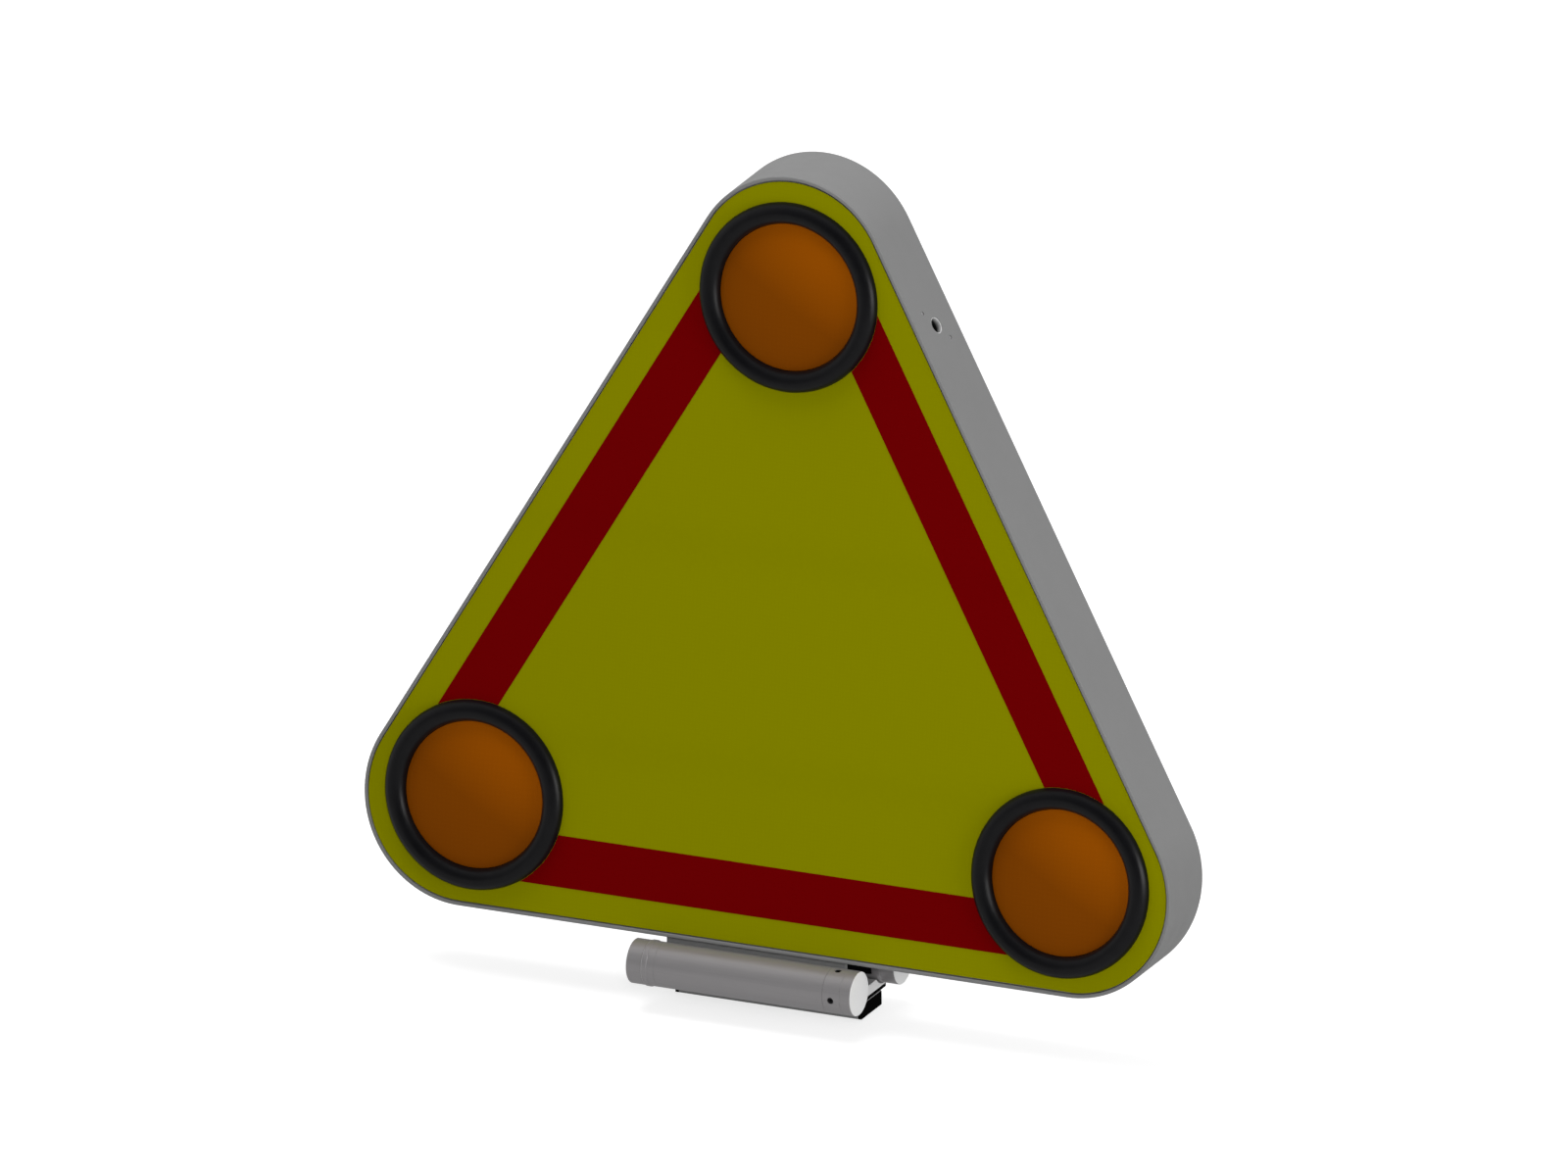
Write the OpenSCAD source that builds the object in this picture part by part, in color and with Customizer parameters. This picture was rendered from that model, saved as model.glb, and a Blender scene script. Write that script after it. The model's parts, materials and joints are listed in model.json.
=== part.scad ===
// Folding three-lamp warning triangle on a motor-driven roof base.
// Origin: centre of the base block's underside. X runs to the sign's right as seen from
// the front, Y runs backward, Z runs up.

/* [Sign] */
// Distance between two corner-arc centres of the triangle
side_len = 529.5; // [450:1:600]
// Radius of the casing's corners
corner_r = 85.6; // [80:0.1:100]
// Depth of the casing, front to back
casing_depth = 62; // [58:1:90]
// Wall thickness of the casing
wall_t = 3; // [2:0.5:4]
// How far the sign leans back from upright, in degrees
lean = 7; // [5:0.5:9]
// Sideways offset of the sign from the middle of the base
sign_x = 10; // [0:1:20]
// Thickness of the sign plate
plate_t = 2.5; // [1.5:0.5:3]
// Thickness of each retroreflective film
film_t = 0.3; // [0.2:0.1:0.5]
// Distance from a corner-centre line to the red band's inner edge
band_in = 17; // [10:1:25]
// Width of the red band
band_w = 42; // [30:1:50]

/* [Lamps] */
// Distance of the lamps from the middle of the triangle
lamp_circle_r = 294.3; // [280:0.1:300]
// Outer radius of the rubber bezel
bezel_r = 77; // [74:0.5:78]
// Radius of the lens
lens_r = 59.6; // [55:0.1:64]
// Height of the lens dome
lens_rise = 5; // [3:0.5:6]
// Depth of the lamp housing behind the plate
housing_depth = 38; // [30:1:42]

/* [Tubes] */
// Radius of the motor tube and the rest tube
tube_r = 18; // [18:0.1:18.2]
// Wall thickness of both tubes
tube_wall = 2; // [1.5:0.5:2]
// Length of each tube with its caps
tube_len = 195; // [195:1:200]
// Distance of the motor tube's axis in front of the base centre
motor_y = 58.1; // [58:0.1:60]
// Height of the motor tube's axis
motor_z = 37.8; // [37.5:0.1:39]
// Distance of the rest tube's axis behind the base centre
rest_y = 24.7; // [24:0.1:26]
// Height of the rest tube's axis
rest_z = 36; // [36:0.1:37]

/* [Base] */
// Length of the base
base_len = 162; // [162:1:170]
// Width of the base block, front to back
block_w = 38.4; // [36:0.2:42]
// Height of the base block
block_h = 11.5; // [11:0.5:11.5]
// Thickness of the shim between block and plate
shim_t = 1; // [1:0.5:1]
// Thickness of the base plate
base_plate_t = 3; // [3:0.5:3]
// Radius of the four mounting holes in the underside
mount_hole_r = 3.3; // [2.6:0.1:4]
// Spacing of the mounting holes along the base
mount_dx = 130; // [120:1:136]
// Spacing of the mounting holes across the base
mount_dy = 20; // [16:1:24]

/* [Drive] */
// Gear module of the last planetary stage
gear_m = 0.7; // [0.6:0.05:0.7]
// Teeth on the sun gear
sun_teeth = 12; // [12:3:12]
// Teeth on each planet gear
planet_teeth = 12; // [12:3:12]
// Teeth on the ring gear
ring_teeth = 36; // [36:3:36]

/* [Hidden] */
$fn = 96;
eps = 0.01;
fit_gap = 0.05;
// Longer than anything that has to be cut through
reach = 500;
// Flats along each rounded corner of the sign
arc_steps = 30;

// Screws: shank radius, head radius, head height
cover_screw = [1.95, 3.8, 2.4];
lamp_screw = [1.55, 2.8, 2.2];
case_screw = [1.55, 2.8, 2];
bracket_bolt = [3.95, 6.5, 5];
rest_bolt = [2.45, 4.2, 4.5];
cradle_screw = [2.45, 4.3, 5];
socket_screw_r = 1.6;
clear_gap = 0.25;

// Heights of the stack on the base
shim_z = block_h;
plate_z = shim_z + shim_t;
plate_top = plate_z + base_plate_t;
web_top = plate_top + 8.5;
end_cap_t = 3;
peg_r = 2;
peg_len = 6;
counterbore = 5.2;

// Sign plane: the front plane of the casing goes through the triangle's middle
circum_r = side_len / sqrt(3);
in_r = circum_r / 2;
sign_z = 295;
sign_y = -20.4;
floor_z = sign_z - (in_r * cos(lean) + corner_r);
ledge_in = 11;
ledge_t = 2;
rear_ledge_in = ledge_in + 3;
plate_y = 2 * film_t + 0.4;
plate_back = plate_y + plate_t;
ledge_y = plate_back + 0.1;
cover_t = 2.5;
gasket_t = 1.5;
cover_in_r = corner_r - wall_t - 0.3;
cover_screw_in = 9;
cover_screw_pitch = 190;
film_gap = 3.6;

// Corner centres seen along Y and in the sign plane
corners_flat = [for (a = [210, 330, 90]) circum_r * [cos(a), sin(a)]];
corners_level = [for (c = corners_flat) [c[0], c[1] * cos(lean)]];

// Lamps
lamp_angles = [90, 210, 330];
neck_r = 65.8;
bezel_bore_r = lens_r + 0.1;
lens_skirt = 2.8;
lens_wall = 6;
housing_r = 60;
housing_wall = 3;
housing_flange_r = 76;
lamp_screw_circle = 71;
board_depth = 12;
board_t = 1.6;
led_r = 2.5;
cable_r = 2.6;

// Flasher case inside the casing
case_w = 130;
case_h = 90;
case_d = 24;
case_x = 20;
case_z = -10;
case_wall = 2.5;
case_lid_t = 3;
case_boss = 5;
cable_holes = [-12, 0, 12, 24];

// Power socket on the right-hand wall, measured from the top corner's arc
socket_s = 82;
socket_depth = casing_depth / 2;
socket_r = 7;
socket_bore_r = 6.2;
socket_len = 24;
socket_floor = -11;
socket_holes = [[-14.3, -10.2, 0], [14.3, 10.2, 0]];
right_dir = (corners_level[1] - corners_level[2]) / norm(corners_level[1] - corners_level[2]);
right_normal = [-right_dir[1], right_dir[0]];
socket_xz = corners_level[2] + corner_r * right_normal + socket_s * right_dir;

// Bracket
bracket_len = 156;
bracket_front = -40.4;
bracket_back = 31;
bracket_t = 3;
bracket_top = floor_z;
flange_bottom = 46;
flange_back = bracket_front + bracket_t + fit_gap;
cheek_out = bracket_len / 2;
slot_w = bracket_t + 0.2;
backing_t = 4;
bolt_places = [for (x = [-55, 55]) for (y = [-28, -2]) [x, y]];

// Collars and caps along the motor tube
drive_cap_len = 9;
idle_cap_len = 13.4;
collar_in = 73.5;
drive_collar_len = tube_len / 2 - drive_cap_len - collar_in;
idle_collar_len = tube_len / 2 - idle_cap_len - collar_in;
tube_bore_r = tube_r - tube_wall;
plug_r = tube_bore_r - fit_gap;
slot_r = 14.6;
bush_r = 13.5;
shaft_r = 9;
hub_r = 11;
idle_bead = [-83.6, -79.8, 0.6];
pin_r = 1.25;
pin_circle = 16.4;
pin_angles = [28, -18];
set_screw_r = 2.7;
set_screw_len = 8.4;
set_screw_angles = [97, 187];
set_screw_x = 80.5;

// Rest tube
rest_cap_len = 12;
rest_body = tube_len / 2 - rest_cap_len;
rest_bolt_x = [-50, 0, 50];

// Screws of the cradle: down into the block, and forward into the motor tube
screw_places = [for (x = [-50, 0, 50]) for (y = [-14, 0]) [x, y]];
tube_screw_x = [-60, 66];

// Planetary stage
planet_count = 3;
orbit_r = gear_m * (sun_teeth + planet_teeth) / 2;
gear_w = 12;
gear_x = 32;
tooth_slack = 0.08;
pressure_angle = 20;
flank_steps = 5;
sun_shaft_r = 3;
planet_pin_r = 1.6;
carrier_r = 14.2;

// ---------- helpers ----------
function side_normal(a, b) = let (d = (b - a) / norm(b - a)) [d[1], -d[0]];

function turn_up(a, a0) = a < a0 ? a + 360 : a;
function corner_arc(p, r, a0, a1) =
  [for (k = [0:arc_steps]) let (a = a0 + (a1 - a0) * k / arc_steps) p + r * [cos(a), sin(a)]];

// Triangle through three points, grown by r with round corners
module rounded_triangle(pts, r) {
  polygon([for (i = [0:2])
    let (before = side_normal(pts[(i + 2) % 3], pts[i]),
         after = side_normal(pts[i], pts[(i + 1) % 3]),
         a0 = atan2(before[1], before[0]),
         a1 = turn_up(atan2(after[1], after[0]), a0))
    each corner_arc(pts[i], r, a0, a1)]);
}

// Rounded triangle drawn out along Y, as long as anything needs
module level_prism(r) {
  translate([sign_x, reach, sign_z])
    rotate([90, 0, 0])
      linear_extrude(2 * reach)
        rounded_triangle(corners_level, r);
}

// Space between two leaning planes, given by their distances behind the front plane
module leaning_slab(from, to) {
  translate([sign_x, sign_y + from, sign_z])
    rotate([-lean, 0, 0])
      translate([-reach, 0, -reach])
        cube([2 * reach, (to - from) * cos(lean), 2 * reach]);
}

// Rim of the casing's shape between two radii and two depths
module casing_ring(r_out, r_in, from, to) {
  intersection() {
    difference() {
      level_prism(r_out);
      level_prism(r_in);
    }
    leaning_slab(from, to);
  }
}

// Frame of the sign plane: x right, y into the sign, z up the plane
module on_sign() {
  translate([sign_x, sign_y, sign_z])
    rotate([-lean, 0, 0])
      children();
}

// The same frame moved level to the back plane
module on_back() {
  translate([0, casing_depth, 0])
    on_sign()
      children();
}

// Turns a shape built along +z so that it runs into the sign, starting at depth y
module into_sign(y) {
  translate([0, y, 0])
    rotate([-90, 0, 0])
      children();
}

// Frame of one lamp, by its angle round the triangle
module at_lamp(a) {
  on_sign()
    translate([lamp_circle_r * cos(a), 0, lamp_circle_r * sin(a)])
      children();
}

module sheet(y, t) {
  into_sign(y)
    linear_extrude(t)
      mirror([0, 1, 0])
        children();
}

// A cylinder along X between two stations
module bar_x(x0, x1, r) {
  translate([x0, 0, 0])
    rotate([0, 90, 0])
      cylinder(r = r, h = x1 - x0);
}

module at_motor_axis() {
  translate([0, -motor_y, motor_z])
    children();
}

module at_rest_axis() {
  translate([0, rest_y, rest_z])
    children();
}

// A side view profile drawn in Y and Z, extruded along X
module profile_x(x0, x1, pts) {
  translate([x0, 0, 0])
    rotate([90, 0, 90])
      linear_extrude(x1 - x0)
        polygon(pts);
}

// Radii of the holes that a screw is driven into or goes through freely
function tapped_r(screw) = screw[0] + fit_gap;
function clear_r(screw) = screw[0] + clear_gap;

// A cap screw along +z: head above z = 0, shank below it
module cap_screw(screw, shank_len) {
  difference() {
    cylinder(r = screw[1], h = screw[2]);
    translate([0, 0, screw[2] * 0.45])
      cylinder(r = screw[0] * 0.95, h = screw[2], $fn = 6);
  }
  translate([0, 0, -shank_len])
    cylinder(r = screw[0], h = shank_len + eps);
}

// A hole of radius r both ways along z
module hole(r, h = reach) {
  cylinder(r = r, h = h, center = true);
}

// A cable through a list of points, with a slightly thicker sleeve at each bend
module cable(points, r) {
  for (i = [0:len(points) - 2]) {
    d = points[i + 1] - points[i];
    translate(points[i])
      rotate([0, acos(d[2] / norm(d)), atan2(d[1], d[0])])
        cylinder(r = r, h = norm(d));
  }
  for (i = [1:len(points) - 2]) translate(points[i]) sphere(1.25 * r);
}

// ---------- casing ----------
module casing_shell() {
  color("silver")
    difference() {
      union() {
        casing_ring(corner_r, corner_r - wall_t, 0, casing_depth);
        casing_ring(corner_r - wall_t / 2, corner_r - ledge_in, ledge_y, ledge_y + ledge_t);
        casing_ring(corner_r - wall_t / 2, corner_r - rear_ledge_in,
                    casing_depth - cover_t - gasket_t - ledge_t,
                    casing_depth - cover_t - gasket_t);
      }
      for (p = bolt_places)
        translate([p[0], p[1], floor_z])
          hole(clear_r(bracket_bolt), 4 * wall_t);
      at_socket() {
        hole(socket_r + fit_gap, 6 * wall_t);
        for (p = socket_holes)
          translate(p)
            hole(socket_screw_r + 0.1, 6 * wall_t);
      }
      cover_screw_places() into_sign(-9) cylinder(r = tapped_r(cover_screw), h = 12);
    }
}

module cover_screw_places() {
  for (k = [0:2])
    for (i = [-1:1])
      on_back()
        rotate([0, 120 * k, 0])
          translate([i * cover_screw_pitch, 0, -(in_r + corner_r - cover_screw_in)])
            children();
  for (a = lamp_angles)
    on_back()
      translate((circum_r + corner_r - cover_screw_in) * [cos(a), 0, sin(a)])
        children();
}

module rear_cover() {
  color("gainsboro")
    difference() {
      intersection() {
        level_prism(cover_in_r);
        leaning_slab(casing_depth - cover_t, casing_depth);
      }
      cover_screw_places() into_sign(-9) cylinder(r = clear_r(cover_screw), h = 12);
    }
}

module cover_gasket() {
  color("dimgray")
    difference() {
      casing_ring(cover_in_r, corner_r - rear_ledge_in,
                  casing_depth - cover_t - gasket_t, casing_depth - cover_t - fit_gap);
      cover_screw_places() into_sign(-9) cylinder(r = clear_r(cover_screw), h = 12);
    }
}

module cover_screws() {
  color("gray")
    cover_screw_places()
      rotate([-90, 0, 0])
        cap_screw(cover_screw, 8);
}

// ---------- sign face ----------
module lamp_cut_2d(r) {
  for (a = lamp_angles) translate(lamp_circle_r * [cos(a), sin(a)]) circle(r);
}

module sign_plate() {
  color("lightgray")
    difference() {
      on_sign()
        sheet(plate_y, plate_t)
          difference() {
            rounded_triangle(corners_flat, corner_r - film_gap);
            lamp_cut_2d(neck_r + 0.2);
          }
      lamp_screw_places() into_sign(plate_back - 2) cylinder(r = tapped_r(lamp_screw), h = 4);
    }
}

module yellow_film() {
  color([0.49, 0.48, 0])
    on_sign()
      sheet(plate_y - film_t, film_t)
        difference() {
          rounded_triangle(corners_flat, corner_r - film_gap);
          lamp_cut_2d(neck_r + 2.2);
        }
}

// One straight bar of the band, along the bottom side
module band_bar_2d() {
  half = (side_len / 2 / tan(60) + band_in) * tan(60);
  translate([-half, -(in_r + band_in + band_w)])
    square([2 * half, band_w]);
}

module red_band() {
  color([0.4, 0, 0])
    on_sign()
      sheet(plate_y - 2 * film_t, film_t)
        difference() {
          intersection() {
            for (k = [0:2]) rotate(120 * k) band_bar_2d();
            rounded_triangle(corners_flat, band_in + band_w);
          }
          lamp_cut_2d(bezel_r + 0.3);
        }
}

// ---------- lamps ----------
module lamp_bezel(a) {
  ring_w = bezel_r - bezel_bore_r;
  base_y = plate_y - film_t;
  color([0.12, 0.12, 0.13])
    at_lamp(a)
      into_sign(base_y) {
        rotate_extrude()
          intersection() {
            translate([bezel_bore_r + ring_w / 2, 0]) circle(ring_w / 2);
            translate([0, -ring_w]) square([bezel_r, ring_w]);
          }
        difference() {
          cylinder(r = neck_r, h = plate_back - base_y);
          hole(bezel_bore_r);
        }
      }
}

module lamp_lens(a) {
  dome_r = (lens_r * lens_r + lens_rise * lens_rise) / (2 * lens_rise);
  color([0.8, 0.4, 0.02])
    at_lamp(a)
      into_sign(0.5) {
        intersection() {
          cylinder(r = lens_r, h = 4 * lens_rise, center = true);
          difference() {
            translate([0, 0, dome_r - lens_rise]) sphere(dome_r, $fn = 200);
            translate([0, 0, dome_r - lens_rise + 2.5]) sphere(dome_r, $fn = 200);
            translate([-lens_r - 1, -lens_r - 1, 1]) cube([2 * lens_r + 2, 2 * lens_r + 2, 2 * dome_r]);
          }
        }
        difference() {
          cylinder(r = lens_r, h = lens_skirt);
          hole(lens_r - lens_wall);
        }
      }
}

module lamp_screw_places() {
  for (a = lamp_angles)
    for (k = [0:2])
      at_lamp(a)
        rotate([0, 120 * k, 0])
          translate([lamp_screw_circle, 0, 0])
            children();
}

module lamp_housing(a) {
  color([0.2, 0.2, 0.22])
    difference() {
      at_lamp(a)
        into_sign(plate_back)
          difference() {
            union() {
              cylinder(r = housing_flange_r, h = housing_wall);
              cylinder(r = housing_r, h = housing_depth);
            }
            translate([0, 0, -housing_wall]) cylinder(r = housing_r - housing_wall, h = housing_depth);
            translate([0, 0, housing_depth]) hole(1.5 * cable_r, 4 * housing_wall);
          }
      lamp_screw_places() into_sign(plate_back - 1) cylinder(r = clear_r(lamp_screw), h = 6);
    }
}

module led_board(a) {
  color([0.1, 0.35, 0.15])
    at_lamp(a)
      into_sign(plate_back + board_depth) {
        cylinder(r = housing_r - housing_wall - 0.4, h = board_t);
        for (ring = [[0, 1], [20, 6], [42, 12]])
          for (k = [1:ring[1]])
            rotate(360 * k / ring[1])
              translate([ring[0], 0, -3])
                cylinder(r = led_r, h = 3.5);
      }
}

module lamp_screws() {
  color("gray")
    lamp_screw_places()
      translate([0, plate_back + housing_wall, 0])
        rotate([-90, 0, 0])
          cap_screw(lamp_screw, housing_wall + 1.9);
}

// ---------- electronics ----------
module on_case() {
  on_sign()
    translate([case_x, plate_back, case_z])
      children();
}

module case_corners(inset) {
  for (x = [-1, 1])
    for (z = [-1, 1])
      translate([x * (case_w / 2 - inset), 0, z * (case_h / 2 - inset)])
        children();
}

module flasher_case() {
  color([0.16, 0.16, 0.17])
    on_case()
      difference() {
        union() {
          difference() {
            translate([-case_w / 2, 0, -case_h / 2]) cube([case_w, case_d, case_h]);
            translate([case_wall - case_w / 2, case_wall, case_wall - case_h / 2])
              cube([case_w - 2 * case_wall, case_d, case_h - 2 * case_wall]);
          }
          case_corners(case_boss) rotate([-90, 0, 0]) cylinder(r = case_boss - 1, h = case_d);
        }
        case_corners(case_boss) into_sign(case_d - 10) cylinder(r = tapped_r(case_screw), h = 11);
        for (x = cable_holes)
          translate([x, case_d / 2, case_h / 2])
            hole(1.5 * cable_r, 5 * case_wall);
      }
}

module flasher_lid() {
  color([0.2, 0.2, 0.21])
    on_case()
      difference() {
        translate([-case_w / 2, case_d, -case_h / 2]) cube([case_w, case_lid_t, case_h]);
        case_corners(case_boss) into_sign(case_d - 1) cylinder(r = clear_r(case_screw), h = 6);
      }
}

module flasher_board() {
  color([0.08, 0.3, 0.14])
    on_case() {
      translate([11 - case_w / 2, 8, 4 - case_h / 2]) cube([case_w - 22, board_t, case_h - 8]);
      translate([-30, 9.5, -20]) cube([18, 8, 18]);
      translate([8, 9.5, -26]) cube([30, 5, 12]);
      for (k = [0:3]) translate([-24 + 16 * k, 0, 22]) into_sign(9.5) cylinder(r = 4, h = 9);
    }
}

module flasher_screws() {
  color("gray")
    on_case()
      case_corners(case_boss)
        translate([0, case_d + case_lid_t, 0])
          rotate([-90, 0, 0])
            cap_screw(case_screw, 9);
}

module wiring_harness() {
  back_y = plate_back + housing_depth + 4;
  exit_y = plate_back + case_d / 2;
  exit_z = case_z + case_h / 2 - 3.5;
  color([0.08, 0.08, 0.09])
    on_sign() {
      for (i = [0:2]) {
        a = lamp_angles[i];
        lamp = [lamp_circle_r * cos(a), back_y, lamp_circle_r * sin(a)];
        exit = [case_x + [0, cable_holes[0], cable_holes[2]][i], exit_y, exit_z];
        cable([lamp, [exit[0], back_y, exit_z + 32 + 8 * i], exit + [0, 0, 12], exit], cable_r);
      }
      socket_x = case_x + cable_holes[3];
      cable([[socket_x, exit_y, exit_z], [socket_x, exit_y, 130], [90.6, 28.9, 266]], cable_r);
    }
}

// ---------- power socket on the right-hand wall ----------
// Frame of the socket: z out of the wall, x down the wall, y backward
module at_socket() {
  translate([sign_x + socket_xz[0], sign_y + socket_depth + socket_xz[1] * tan(lean),
             sign_z + socket_xz[1]])
    rotate([0, atan2(right_normal[0], right_normal[1]), 0])
      children();
}

module power_socket() {
  color("gainsboro")
    at_socket()
      difference() {
        union() {
          translate([0, 0, -wall_t - socket_len]) cylinder(r = socket_r, h = wall_t + socket_len - 0.4);
          translate([0, 0, -2 * wall_t - fit_gap])
            linear_extrude(wall_t)
              polygon([[-19, -15], [-8, -15], [19, 4], [19, 15], [8, 15], [-19, -4]]);
        }
        translate([0, 0, socket_floor]) cylinder(r = socket_bore_r, h = socket_len);
        for (p = socket_holes) translate(p) hole(socket_screw_r + 0.1, socket_len);
      }
}

module socket_pins() {
  color("gold")
    at_socket()
      for (k = [0:2])
        rotate(120 * k + 30)
          translate([socket_bore_r / 2, 0, socket_floor])
            cylinder(r = 0.9, h = 5);
}

module socket_screws() {
  color("gray")
    at_socket()
      for (p = socket_holes)
        translate(p - [0, 0, 3 * wall_t])
          cylinder(r = socket_screw_r, h = 3 * wall_t - 1);
}

// ---------- bracket under the casing ----------
module backing_plate() {
  color("gray")
    difference() {
      translate([-70, -38, floor_z + wall_t + fit_gap]) cube([140, 42, backing_t]);
      for (p = bolt_places) translate([p[0], p[1], 0]) hole(tapped_r(bracket_bolt));
    }
}

module bracket_bolts() {
  color("darkgray")
    for (p = bolt_places)
      translate([p[0], p[1], floor_z - bracket_t])
        mirror([0, 0, 1])
          cap_screw(bracket_bolt, bracket_t + wall_t + backing_t - 0.2);
}

// Channel with a top plate and a front flange
module top_bracket() {
  color([0.45, 0.45, 0.45])
    difference() {
      union() {
        translate([-cheek_out, bracket_front, bracket_top - bracket_t])
          cube([bracket_len, bracket_back - bracket_front, bracket_t]);
        translate([-cheek_out, bracket_front, flange_bottom])
          cube([bracket_len, bracket_t, bracket_top - flange_bottom - fit_gap]);
      }
      for (p = bolt_places) translate([p[0], p[1], 0]) hole(clear_r(bracket_bolt));
      for (x = rest_bolt_x) translate([x, rest_y, 0]) hole(clear_r(rest_bolt));
      at_motor_axis() bar_x(-cheek_out - 1, cheek_out + 1, tube_r + 0.5);
    }
}

// Side plates behind the flange that carry the two tubes
module bracket_cheeks() {
  top = bracket_top - bracket_t - fit_gap;
  shoulder = flange_bottom - fit_gap;
  outline = [[flange_back, top], [bracket_back - 6, top], [bracket_back - 6, 50], [10.6, 28],
             [-30, 43], [-36, 28], [-46, 28], [-46, shoulder], [flange_back, shoulder]];
  color([0.08, 0.08, 0.08])
    difference() {
      for (x = [-cheek_out, cheek_out - bracket_t]) profile_x(x, x + bracket_t, outline);
      at_motor_axis() bar_x(-cheek_out - 1, cheek_out + 1, slot_r + 0.1);
      at_rest_axis() bar_x(-cheek_out - 1, cheek_out + 1, tube_r + fit_gap);
      pin_places() bar_x(-20, 20, pin_r + fit_gap);
    }
}

// ---------- rest tube ----------
module rest_tube() {
  color([0.62, 0.6, 0.61])
    difference() {
      at_rest_axis()
        difference() {
          bar_x(-rest_body, rest_body, tube_r);
          bar_x(-rest_body - 1, rest_body + 1, tube_bore_r);
        }
      for (x = rest_bolt_x)
        translate([x, rest_y, rest_z])
          cylinder(r = tapped_r(rest_bolt), h = 2 * tube_r);
    }
}

module rest_tube_caps() {
  color([0.75, 0.75, 0.75])
    at_rest_axis()
      for (a = [0, 180])
        rotate([0, 0, a]) {
          bar_x(rest_body, tube_len / 2, tube_r);
          bar_x(rest_body - 10, rest_body + eps, plug_r);
        }
}

module rest_tube_bolts() {
  spacer_h = bracket_top - bracket_t - rest_z - tube_r;
  color("gray")
    for (x = rest_bolt_x)
      translate([x, rest_y, bracket_top]) {
        cap_screw(rest_bolt, bracket_t + spacer_h + tube_wall + 4);
        translate([0, 0, 2 * fit_gap - bracket_t - spacer_h])
          cylinder(r = rest_bolt[1] + 0.3, h = spacer_h - 3 * fit_gap);
      }
}

// ---------- collars ----------
module pin_places() {
  for (s = [-1, 1])
    for (a = pin_angles)
      translate([s * (cheek_out - bracket_t / 2), 0, 0])
        at_motor_axis()
          rotate([a, 0, 0])
            translate([0, pin_circle, 0])
              children();
}

module collar_slot(x) {
  translate([x - slot_w / 2, 5, -tube_r - 1])
    cube([slot_w, tube_r, 2 * tube_r + 2]);
}

module drive_collar() {
  color([0.62, 0.6, 0.61])
    difference() {
      at_motor_axis()
        difference() {
          bar_x(collar_in, collar_in + drive_collar_len, tube_r);
          bar_x(collar_in - 1, collar_in + drive_collar_len + 1, shaft_r);
          difference() {
            collar_slot(cheek_out - bracket_t / 2);
            bar_x(collar_in - 5, collar_in + 20, slot_r);
          }
          for (a = set_screw_angles)
            translate([set_screw_x, 0, 0])
              rotate([a - 90, 0, 0])
                cylinder(r = set_screw_r + fit_gap, h = 2 * tube_r);
        }
      pin_places() bar_x(-2.5, 5, pin_r + fit_gap);
    }
}

module idle_collar() {
  x0 = -collar_in - idle_collar_len;
  color([0.62, 0.6, 0.61])
    difference() {
      at_motor_axis()
        difference() {
          union() {
            bar_x(x0, -collar_in, tube_r);
            bar_x(idle_bead[0], idle_bead[1], tube_r + idle_bead[2]);
          }
          bar_x(x0 - 1, -collar_in + 1, bush_r);
          difference() {
            collar_slot(-cheek_out + bracket_t / 2);
            bar_x(x0 - 5, x0 + 20, slot_r);
          }
        }
      pin_places() bar_x(-5, 2.5, pin_r + fit_gap);
    }
}

module collar_pins() {
  color("gray") {
    intersection() {
      pin_places() bar_x(-2.4, 4, pin_r);
      translate([0, -reach / 2, 0]) cube(reach);
    }
    intersection() {
      pin_places() bar_x(-4, 2.4, pin_r);
      translate([-reach, -reach / 2, 0]) cube(reach);
    }
  }
}

module set_screws() {
  color([0.05, 0.05, 0.05])
    at_motor_axis()
      for (a = set_screw_angles)
        translate([set_screw_x, 0, 0])
          rotate([a - 90, 0, 0])
            translate([0, 0, shaft_r])
              difference() {
                cylinder(r = set_screw_r, h = set_screw_len);
                translate([0, 0, set_screw_len - 3]) cylinder(r = set_screw_r / 2, h = 4, $fn = 6);
              }
}

module drive_end_cap() {
  x0 = collar_in + drive_collar_len;
  color([0.8, 0.8, 0.8])
    at_motor_axis()
      bar_x(x0, tube_len / 2, tube_r);
}

// ---------- drive ----------
// Carrier plate with the output shaft in one piece
module output_shaft() {
  color("silver")
    at_motor_axis()
      difference() {
        union() {
          bar_x(gear_x + gear_w + 1, gear_x + gear_w + 6, carrier_r);
          bar_x(gear_x + gear_w + 5, collar_in + drive_collar_len, shaft_r - fit_gap);
        }
        planet_places() bar_x(0, tube_len, planet_pin_r);
      }
}

module planet_places() {
  for (k = [0:planet_count - 1])
    rotate([120 * k + 90, 0, 0])
      translate([0, orbit_r, 0])
        children();
}

module planet_pins() {
  color("gray")
    at_motor_axis()
      planet_places()
        bar_x(gear_x - 1, gear_x + gear_w + 5.9, planet_pin_r);
}

// Half the angle that a tooth covers at radius r, for n teeth
function involute(a) = tan(a) * 180 / PI - a;
function half_tooth(n, r, slack) =
  let (base = gear_m * n / 2 * cos(pressure_angle), a = r > base ? acos(base / r) : 0)
    90 / n - slack / (gear_m * n) * 180 / PI + involute(pressure_angle) - involute(a);

// Spur gear outline with a tooth on the +x axis
module spur_2d(n, slack, addendum, dedendum) {
  pitch = gear_m * n / 2;
  r_tip = pitch + addendum;
  r_root = pitch - dedendum;
  flank = [for (i = [0:flank_steps]) r_root + (r_tip - r_root) * i / flank_steps];
  polygon([for (k = [0:n - 1]) each concat(
    [for (i = [0:flank_steps]) let (r = flank[i], h = half_tooth(n, r, slack))
      r * [cos(360 * k / n - h), sin(360 * k / n - h)]],
    [for (i = [flank_steps:-1:0]) let (r = flank[i], h = half_tooth(n, r, slack))
      r * [cos(360 * k / n + h), sin(360 * k / n + h)]])]);
}

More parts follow.
